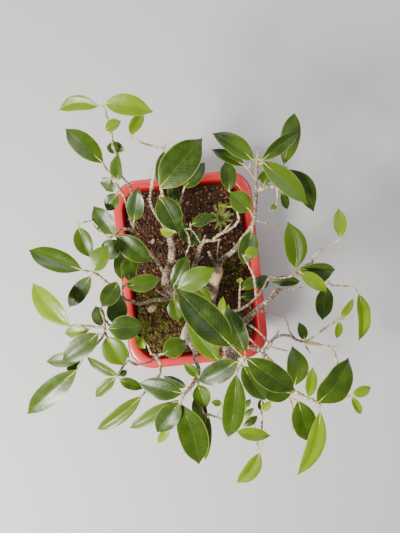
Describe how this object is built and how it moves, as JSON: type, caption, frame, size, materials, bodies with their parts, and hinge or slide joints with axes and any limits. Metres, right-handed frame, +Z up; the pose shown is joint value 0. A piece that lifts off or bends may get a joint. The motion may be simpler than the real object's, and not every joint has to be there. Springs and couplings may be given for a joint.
{
  "type": "bonsai tree",
  "caption": "Small fig trained as a bonsai: gnarled forked trunk, spreading leafy shoots, in a rectangular red glazed pot with a rolled lip.",
  "frame": {"origin": "middle of the pot's underside, on the surface that its feet stand on", "axes": "+Z up, +Y along the pot's long side, +X along its short side, to the right in the picture"},
  "size_m": [0.3719, 0.414, 0.288],
  "materials": {
    "glaze": "gloss",
    "mesh": "matte",
    "soil": "rough",
    "stone": "matte",
    "seedling": "matte",
    "bark": "rough",
    "leaf": "satin"
  },
  "bodies": {
    "root": {"pot": "glaze", "drain_mesh_near": "mesh", "drain_mesh_far": "mesh", "soil": "soil", "pebble_big": "stone", "pebble_small": "stone", "seedling": "seedling", "trunk": "bark", "spray_north_west_tip": "leaf", "spray_north_west_side": "leaf", "spray_north_arc": "leaf", "spray_north": "leaf", "spray_west_high": "leaf", "spray_west": "leaf", "spray_west_middle": "leaf", "spray_west_under": "leaf", "spray_west_outer": "leaf", "spray_west_lower": "leaf", "spray_west_inner": "leaf", "spray_west_inner_low": "leaf", "spray_south_west": "leaf", "spray_south_hanging": "leaf", "spray_south": "leaf", "spray_south_low": "leaf", "spray_apex": "leaf", "spray_south_east": "leaf", "spray_south_east_hanging": "leaf", "spray_east_low": "leaf", "spray_east": "leaf", "spray_north_east_low": "leaf", "spray_north_east_under": "leaf", "spray_middle_east": "leaf", "spray_middle": "leaf", "spray_north_east_tip": "leaf", "spray_north_east_side": "leaf", "spray_fork": "leaf", "spray_fork_left": "leaf", "spray_crown_middle": "leaf", "spray_south_west_inner": "leaf", "spray_south_west_twig": "leaf", "spray_leader_shoot": "leaf", "spray_leader_low": "leaf"}
  },
  "joints": []
}
